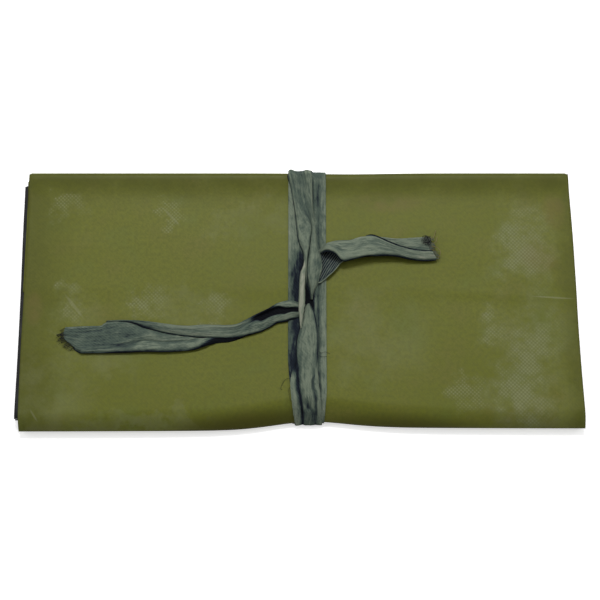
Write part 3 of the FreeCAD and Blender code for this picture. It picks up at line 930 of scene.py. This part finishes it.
RIGHT_LOWER = (
    (10, "knot", (28, 25, 21, 17, 13, 9.5, 8.6)),
    (13.7, "exit", (30.8, 27.5, 23.5, 19, 14.5, 10, 8.8)),
    (17, "exit", (34.4, 30.6, 26.4, 22, 17.2, 12.4, 11.2)),
    (20, "mouth", (35.8, 32, 28, 23.8, 19.4, 15, 13.8)),
    (23, "mouth", (36.6, 33, 29.4, 25.6, 21.6, 17.8, 16.8)),
    (27, "mouth", (37, 34, 31, 28, 25, 22.6, 21.8)),
    (31, "closing", (37.2, 34.8, 32.4, 30, 27.4, 25, 24.2)),
    (37, "closing", (38.4, 36.2, 34, 31.8, 29.4, 27, 26)),
    (44, "closed", (39.8, 37.6, 35.4, 33.2, 31, 28.6, 27.6)),
    (51, "flat", (40.5, 38.3, 36.1, 34, 31.8, 29.6, 28.4)),
    (57, "flat", (39.8, 37.6, 35.4, 33.2, 31.2, 29.4, 28.2)),
    (65, "flat", (39, 36.8, 34.6, 32.6, 30.8, 29.2, 28)),
    (77, "flat", (39.7, 37.2, 34.6, 32.2, 30, 28, 26.6)),
    (83, "end", (40.1, 37.4, 34.8, 32.4, 30.2, 28, 26.4)),
)
RIGHT_LOWER_END = (
    ((86.6, 39.7, 1.8), (87, 37.2, 1.9), (87.3, 34.8, 1.8), (87.7, 32.6, 1.9),
     (88.4, 30.2, 1.8), (89.2, 28, 1.7), (90.2, 26.2, 1.6)),
)


def strand_rows(y_values, lines, heights):
    """Rows of a strand that runs along Y over the cover."""
    rows = []
    for y, xs, lifts in zip(y_values, lines, heights):
        rows.append([over(x, y, lift) for x, lift in zip(xs, lifts)])
    return rows


def tail_rows(stations, heights, end=()):
    """Rows of a tail that runs along X over the cover, with slanted rows at its end."""
    rows = []
    for x, kind, ys in stations:
        rows.append([over(x, y, lift) for y, lift in zip(ys, heights[kind])])
    return rows + [[over(*point) for point in row] for row in end]


def hem(rows, line, beside, move):
    """Puts one line of a strand beside another: the rolled edge, which lies in its own shadow."""
    for row in rows:
        row[line] = tuple(a + b for a, b in zip(row[beside], move))


def turn_edges(y):
    """The first turn's left and right edges, which gather a little at the near fold."""
    return TAPE_LEFT + 5.2 * ease(-y, 40, 96), TAPE_RIGHT - 2.0 * ease(-y, 60, 92)


def under_rows(x_values, y_values, height):
    """Rows of a turn under the packet, a height below it."""
    return [[(x, y, bottom(x) - height) for x in x_values] for y in y_values]


def first_turn_fades_and_shade(y):
    """The first turn's fading at a y, line by line, with painted shade: dark beside the strands that lie
    over it.
    """
    row = [0.8, 0.85, 0.8, 0.6, 0.4, 0.3, 0.6, 0.15, 0.42, 0.72, 0.7, 0.6]
    if y < -60:
        row[:5] = [1.1, 1.05, 0.8, 0.4, -0.3]
    elif y < -36:
        row[:4] = [0.1, 0.05, -0.15, -0.5]
    elif y < -16:
        row[:4] = [0.3, 0.2, 0.06, -0.1]
    elif y < 14:
        row[:6] = [0.5, 0.3, 0.02, -0.4, -0.7, -0.6]
    elif y < 24:
        row[:6] = [0.6, 0.42, 0.12, -0.2, -0.3, -0.3]
    elif y < 34:
        row[:4] = [0.75, 0.7, 0.3, 0.1]
    if y < 0:
        row[9:] = [0.85, 0.82, 0.7]
    else:
        row[7] = 0.32
    return row


def build_first_turn():
    """The flat turn under the knot, right round the packet."""
    shares = [0, 0.09, 0.22, 0.38, 0.55, 0.65, 0.715, 0.785, 0.82, 0.89, 0.955, 1]
    ridges = [0, 0.25, 0.1, 0, 0.05, 0.1, 0.65, 0.0, 0.05, 0.55, 0.3, 0]

    def spread(y):
        left, right = turn_edges(y)
        return [left + (right - left) * share for share in shares]

    rows = []
    for y in (60, 20, -20, -48, -66):
        rows += under_rows(spread(max(y, -96 - y)), [y], FIRST)
    for angle in (90, 60, 30, 0):
        rows.append([round_near(x, angle, FIRST) for x in spread(-84)])
    on_top = len(rows)
    top_y = (-79, -74, -68, -62, -55, -48, -41, -34, -27, -20, -13, -6,
             0, 6, 13, 20, 28, 36, 46, 56, 66, 75)
    for y in top_y:
        rows.append([over(x, y, FIRST + ridge) for x, ridge in zip(spread(y), ridges)])
    for angle in (90, 60, 30, 0, -30, -60, -90):
        rows.append([round_far(x, angle, FIRST) for x in spread(82)])
    rows += under_rows(spread(60), [60], FIRST)
    fades_and_painted_shade = np.full((len(rows), len(shares)), 0.5)
    for row, y in enumerate(top_y, on_top):
        fades_and_painted_shade[row] = first_turn_fades_and_shade(y)
    turn = make_object("tape_first_turn", [net(rows, 4, 3, fades_and_painted_shade)], [TAPE_CLOTH])
    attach(turn, "tie")
    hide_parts("first_turn_top", "first_turn_far", "first_turn_under", "first_turn_near")
    return turn, 370.0


def gathered_rows(place, turns, flat_x, edge_x, ridges):
    """Rows round an edge, where the tape goes from flat (a share of 1) to gathered (0)."""
    rows = []
    for angle, flatness in turns:
        row = []
        for flat, edge, ridge in zip(flat_x, edge_x, ridges):
            x = edge + (flat - edge) * flatness
            row.append(place(x, angle, SECOND + ridge * (1 - flatness)))
        rows.append(row)
    return rows


def upper_strand():
    """The second turn from under the packet, up round the far fold and in to the knot."""
    flat_x = np.linspace(TAPE_LEFT, TAPE_RIGHT, 9)
    rows = under_rows(flat_x, (0, 40, 70), SECOND)
    edge_x = [-5.6, -7.2, -5.9, -3.6, -0.4, 3.0, 4.6, 8.2, 6.6]
    ridges = [0.1, 0.35, 1.15, 0.35, 0.05, 0.4, 1.05, 0.4, 0.1]
    turns = ((-70, 0.75), (-35, 0.4), (0, 0.12), (35, 0.0), (65, 0.0))
    rows += gathered_rows(round_far, turns, flat_x, edge_x, ridges)
    on_top = len(rows)
    rows += strand_rows(UPPER_Y, UPPER_LINES, UPPER_HEIGHTS)
    hem(rows[on_top:], 0, 1, (-0.7, 0, -1.0))
    # Painted shade: the hemmed left line near black, the crease line dark, and the lines by the knot
    # darker.
    fades_and_painted_shade = np.full((len(rows), 9), 0.5)
    fades_and_painted_shade[3:8] = [0.3, 0.5, 0.75, 0.5, 0.42, 0.55, 0.85, 0.6, 0.3]
    fades_and_painted_shade[8:11] = [-0.9, 0.62, 0.66, 0.6, 0.5, 0.6, 0.7, 0.9, 0.3]
    fades_and_painted_shade[11:] = [-0.9, 0.6, 0.8, 0.72, -0.2, 0.7, 0.75, 0.6, 0.2]
    fades_and_painted_shade[11, 4] = 0.35
    fades_and_painted_shade[17:, :5] = 0.1
    return net(rows, 6, 4, fades_and_painted_shade)


def lower_strand():
    """The second turn from under the packet, up round the near fold and in to the knot."""
    flat_x = np.linspace(TAPE_LEFT, TAPE_RIGHT, 12)
    edge_x = [-1.6, -2.5, -1.4, 0.8, 2.2, 3.3, 5.0, 8.6, 10.8, 12.4, 14.6, 13.6]
    ridges = [0.35 * ridge for ridge in (0.2, 0.5, 1.1, 0.8, 0.1, 0.8, 1.5, 1.6, 0.8, 1.4, 0.6, 0.2)]
    rows = under_rows(flat_x, (0, -36, -64), SECOND)
    turns = ((85, 0.6), (55, 0.3), (25, 0.1), (0, 0.0))
    rows += gathered_rows(round_near, turns, flat_x, edge_x, ridges)
    rows += strand_rows(LOWER_Y, LOWER_LINES, LOWER_HEIGHTS)
    # Painted shade: the valley line dark, and the left lines near the knot dark navy.
    fades_and_painted_shade = np.full((len(rows), 12), 0.5)
    fades_and_painted_shade[3:] = [0.4, 0.8, 0.95, 0.7, -0.3, 0.6, 0.78, 0.82, 0.2, 0.8, 0.7, 0.3]
    fades_and_painted_shade[3:7, 5:9] = [0.42, 0.5, 0.42, 0.35]
    fades_and_painted_shade[7, 5:9] = [0.2, 0.65, 0.15, 0.35]
    fades_and_painted_shade[8, 5:9] = [0.8, 0.1, 0.8, 0.3]
    fades_and_painted_shade[12:, :5] = -0.2
    fades_and_painted_shade[12:, 5] = 0.5
    fades_and_painted_shade[12:, 8] = 0.6
    fades_and_painted_shade[13:, 9] = -0.1
    return net(rows, 6, 4, fades_and_painted_shade)


def knot_lap():
    """The lower strand's edge, drawn up over the left tail and in under the upper strand."""
    rows = []
    for y, x, half, top, foot in LAP:
        side = (foot + top) / 2
        section = ((-0.7, foot - 0.5), (-1, side), (-0.5, top),
                   (0.45, top - 0.15), (1, side), (0.7, foot - 0.5))
        rows.append([over(x + half * share, y, height) for share, height in section])
    # Lightest along its top, from fading and a painted highlight; darker at its feet, painted shade.
    return net(rows, 6, 4, [0.3, 1.0, 1.3, 1.25, 0.9, 0.2], 12.0)


def build_second_turn():
    """The gathered turn: under the packet, and up both sides to the knot."""
    shells = [upper_strand(), lower_strand(), knot_lap()]
    turn = make_object("tape_second_turn", shells, [TAPE_CLOTH])
    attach(turn, "tie")
    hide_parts("second_turn_far", "second_turn_under", "second_turn_near", "upper_strand",
                "lower_strand", "knot_left_lap", "knot_right_lap")
    return turn, 370.0


def build_left_tail():
    """Two pleats at the knot that open into a flat tape, with a turned-over flap on top."""
    flap = tail_rows(LEFT_FLAP, LEFT_FLAP_HEIGHTS)
    hem(flap, -1, -2, (0, -1.3, -1.1))
    # Painted shade: the hem's -1.0 near black, and the dark lines in the grooves between the pleats.
    flap_fades_and_shade = np.tile([0.4, 0.68, 0.8, 0.62, 0.5, 0.62, 0.72, -1.0], (len(flap), 1))
    flap_fades_and_shade[:5] = [0.2, 0.6, 0.8, -0.5, -0.7, 0.7, 0.6, -1.0]
    flap_fades_and_shade[5:8] = [-0.3, -0.3, -0.4, -0.6, -0.5, 0.5, 0.55, -1.0]
    flap_fades_and_shade[8] = [0.1, 0.25, 0.5, 0.55, 0.4, 0.45, 0.6, -1.0]
    flap_fades_and_shade[10:14, :7] += 0.14
    flap_fades_and_shade[14:] = [0.3, 0.5, 0.55, 0.6, 0.6, 0.4, 0.0, -1.0]
    under = tail_rows(LEFT_UNDER, LEFT_UNDER_HEIGHTS, LEFT_UNDER_END)
    hem(under, -1, -2, (0, -1.4, -0.9))
    # Painted shadow: near black on the hem and where the under layer runs beneath the flap.
    under_fades_and_shade = np.tile([0.42, 0.5, 0.46, 0.48, 0.42, 0.5, 0.62, -0.1], (len(under), 1))
    under_fades_and_shade[:4] = [0.4, 0.4, 0.4, 0.4, 0.4, -1.0, -1.0, -1.0]
    under_fades_and_shade[3, 4:6] = [0.6, -0.3]
    under_fades_and_shade[4] = [0.42, 0.5, 0.55, 0.75, 0.8, 0.7, -0.2, -1.0]
    under_fades_and_shade[5:9] = [0.42, 0.5, 0.55, 0.75, 0.55, 0.78, 0.6, -0.5]
    under_fades_and_shade[9:11] = [0.42, 0.5, 0.46, 0.46, 0.15, 0.6, 0.6, -1.0]
    under_fades_and_shade[15:, 6] = 0.3
    layers = [net(flap, 5, 4, flap_fades_and_shade), net(under, 5, 4, under_fades_and_shade)]
    return make_object("tape_left_tail", layers, [TAPE_CLOTH]), 165.0


def build_right_tail():
    """A tape that leaves the knot as an open fold, and turns over once before its frayed end."""
    upper = tail_rows(RIGHT_UPPER, RIGHT_UPPER_HEIGHTS, RIGHT_UPPER_END)
    hem(upper, -1, -2, (0, -1.5, -1.5))
    hem(upper[8:], 0, 1, (0, 1.3, -0.3))
    # Painted shadow: the hem's -0.5 and the upper edge's -1.0 from the neck on, dark lines along both
    # edges.
    upper_fades_and_shade = np.tile([0.6, 0.8, 0.86, 0.76, 0.82, 0.88, -0.5], (len(upper), 1))
    upper_fades_and_shade[9:13] -= 0.08
    upper_fades_and_shade[13:, :6] += 0.15
    upper_fades_and_shade[8:, 0] = -1.0
    upper_fades_and_shade[7, 0] = -0.4
    lower = tail_rows(RIGHT_LOWER, RIGHT_LOWER_HEIGHTS, RIGHT_LOWER_END)
    # The inside of the fold is dark navy, from less fading and from painted shade.
    lower_fades_and_shade = np.tile([-0.1, -0.1, -0.08, -0.05, 0.0, 0.2, 0.8], (len(lower), 1))
    lower_fades_and_shade[8:] = [0.8, 0.85, 0.75, 0.6, 0.6, 0.6, 0.6]
    # All of a layer is in one cloth: the first material outside and the second inside the fold.
    layers = []
    for cloth, rows, fades_and_painted_shade in ((0, upper, upper_fades_and_shade), (1, lower, lower_fades_and_shade)):
        points, quads, uv, shades, kinds = net(rows, 5, 4, fades_and_painted_shade)
        layers.append((points, quads, uv, shades, np.full_like(kinds, cloth)))
    return make_object("tape_right_tail", layers, [TAPE_CLOTH, TAPE_INSIDE]), 100.0


# Loose threads, as points with their heights over the cover.
LEFT_FRAY = ((-152.7, -21.9, 1), (-153.8, -26, 1.1), (-153, -28.8, 1.1), (-149.4, -31.8, 1.1),
             (-145.6, -35.2, 1.1))
RIGHT_FRAY = ((86.6, 39.7, 2.5), (87.2, 36, 2.5), (87.7, 32.6, 2.5), (89.2, 28.6, 2.5), (90.4, 25.8, 2.4))
STRAYS = (
    ((86.5, 33.5, 2.2), (90, 33.2, 2.8), (93.2, 30.5, 2.2), (92.8, 27.6, 1.2), (91, 25.6, 0.8)),
    ((86.5, 32.5, 2.2), (89.6, 30.2, 2.4), (91.6, 27.4, 1.4), (91.8, 25.8, 0.6)),
    ((86, 38, 2.2), (89, 40, 2.6), (90.6, 45, 1.2)),
    ((86.5, 35.5, 2.2), (90.2, 36.5, 2.6), (91.4, 40.5, 1.4)),
)
CURLS = (
    ((-4.6, -56, 1.4), (-7.5, -55, 1), (-10, -57, 0.3), (-12, -61.5, 0.2), (-10.8, -62.4, 0.2)),
    ((-4.8, -60, 1.3), (-6.6, -62, 0.8), (-6.4, -66, 0.4), (-5.6, -70, 0.9)),
    ((12.4, -37, 1.6), (14.5, -38.2, 1.7), (17, -37.4, 0.8), (20, -38.6, 0.2)),
    ((12.6, -40, 1.5), (15, -40.8, 1.6), (18, -40.4, 0.6)),
)


def threads(name, paths, radius, material):
    """A piece made of threads along paths over the cover."""
    shells = [tube([over(*point) for point in path], radius) for path in paths]
    return make_object(name, shells, [material])


def fringe(chance, edge, outward, reach):
    """Paths of short threads that leave a cut end, given as points along it."""
    paths = []
    for x, y, height in refine(edge, 14):
        length = reach * (0.35 + 0.65 * chance.random())
        sway = chance.normal(0, 0.8, 2)
        drop = max(0.2, height - 0.6)
        paths.append([
            (x - outward[0] * 2.0, y - outward[1] * 2.0, height),
            (x + outward[0] * length / 2, y + outward[1] * length / 2 + sway[0], height),
            (x + outward[0] * length, y + outward[1] * length + sway[0] + sway[1], drop),
        ])
    return paths


def tangle(chance, centre, spread, count):
    """Paths of threads that curl over one another round a place."""
    paths = []
    for _ in range(count):
        x, y = np.array(centre) + chance.normal(0, spread * 0.55, 2)
        angles = np.cumsum(chance.normal(1.3, 0.5, 6)) + chance.random() * 6
        radii = spread * (0.4 + 0.7 * chance.random(6))
        path = []
        for angle, radius in zip(angles, radii):
            height = 3.0 + 0.9 * chance.random()
            path.append((x + radius * math.cos(angle), y + radius * math.sin(angle), height))
        paths.append(path)
    return paths


def build_threads():
    """Frayed ends and loose threads, each on the stretch of tape that it comes from."""
    chance = np.random.default_rng(7)
    left_ends = fringe(chance, LEFT_FRAY, (-0.95, -0.3), 5.5)
    left = [threads("left_tail_fray", left_ends, 0.09, DARK_THREAD)]
    right_ends = fringe(chance, RIGHT_FRAY, (0.97, -0.1), 3.4)
    right = [
        threads("right_tail_fray", right_ends, 0.09, GREEN_THREAD),
        threads("right_tail_tangle", tangle(chance, (85.4, 37.9), 2.6, 5), 0.2, DARK_THREAD),
        threads("right_tail_tuft", tangle(chance, (83.2, 37.0), 1.8, 5), 0.12, GREEN_THREAD),
        threads("right_tail_strays", STRAYS, 0.16, BROWN_THREAD),
    ]
    tie = [threads("tie_loose_threads", CURLS, 0.1, DARK_THREAD)]
    for body, pieces in (("left_tail", left), ("right_tail", right), ("tie", tie)):
        for piece in pieces:
            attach(piece, body)
    return left, right, tie


def build_tape():
    """All of the tie: its two turns, its tails and its loose threads."""
    first, first_length = build_first_turn()
    second, second_length = build_second_turn()
    left, left_length = build_left_tail()
    right, right_length = build_right_tail()
    for tail, body, nodes, reach in ((left, "left_tail", ("left_tail", "left_tail_root"), -20),
                                     (right, "right_tail", ("right_tail", "right_tail_root"), 16)):
        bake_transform(tail)
        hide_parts(*nodes)
    left_threads, right_threads, tie_threads = build_threads()
    for piece, length, loose in ((first, first_length, tie_threads), (second, second_length, []),
                                 (left, left_length, left_threads), (right, right_length, right_threads)):
        length * MM


# Stage ------------

def build_stage():
    """White floor, soft lights, and a camera that looks down from the near side."""
    nodes = Nodes("white floor")
    grain = nodes.noise(nodes.add("ShaderNodeTexCoord").outputs["Object"], 30.0)
    colour = nodes.mix(grain * 0.1, (0.93, 0.93, 0.93), (0.9, 0.9, 0.9))
    nodes.finish(Base_Color=colour, Roughness=0.9)
    rays = nodes.add("ShaderNodeLightPath").outputs
    seen = nodes.strongest([rays["Is Camera Ray"], rays["Is Glossy Ray"], rays["Is Transmission Ray"]])
    glow = nodes.add("ShaderNodeEmission", {"Color": (1, 1, 1, 1), "Strength": 0.55})
    both = nodes.add("ShaderNodeAddShader", {0: nodes.shader.outputs[0], 1: glow.outputs[0]})
    chosen = nodes.add("ShaderNodeMixShader", {0: seen, 1: nodes.shader.outputs[0], 2: both.outputs[0]})
    output = nodes.tree.nodes["Material Output"]
    nodes.put(output.inputs["Surface"], chosen.outputs[0])
    mesh = bpy.data.meshes.new("floor")
    size = 6.0
    corners = [(-size, -size, 0), (size, -size, 0), (size, size, 0), (-size, size, 0)]
    mesh.from_pydata(corners, [], [(0, 1, 2, 3)])
    mesh.materials.append(nodes.material)
    floor = bpy.data.objects.new("floor", mesh)
    bpy.context.scene.collection.objects.link(floor)

    world = bpy.data.worlds.new("studio")
    bpy.context.scene.world = world
    world.use_nodes = True
    background = world.node_tree.nodes["Background"]
    background.inputs["Color"].default_value = (1, 1, 1, 1)
    background.inputs["Strength"].default_value = 0.22

    def area_light(name, place, size, power):
        light = bpy.data.lights.new(name, "AREA")
        light.shape = "RECTANGLE"
        light.size, light.size_y = size
        light.energy = power
        lamp = bpy.data.objects.new(name, light)
        lamp.location = place
        lamp.rotation_euler = (-Vector(place)).to_track_quat("-Z", "Y").to_euler()
        bpy.context.scene.collection.objects.link(lamp)

    area_light("left softbox", (-1.3, 0.2, 0.8), (0.7, 0.7), 5)
    area_light("right softbox", (1.3, 0.2, 0.8), (0.7, 0.7), 5)
    area_light("far key", (0.0, 0.85, 1.2), (0.6, 0.45), 14.3)

    camera_data = bpy.data.cameras.new("camera")
    camera = bpy.data.objects.new("camera", camera_data)
    elevation, distance = math.radians(75), 1.0
    target = Vector((0.0005, -0.0013, 0.008))
    away = Vector((0, -math.cos(elevation), math.sin(elevation)))
    camera.location = target + away * distance
    camera.rotation_euler = (-away).to_track_quat("-Z", "Y").to_euler()
    camera_data.sensor_width = 36
    camera_data.lens = 91
    bpy.context.scene.collection.objects.link(camera)
    bpy.context.scene.camera = camera
    bpy.context.scene.view_settings.view_transform = "Standard"


build_band()
build_cover()
build_tape()
build_stage()
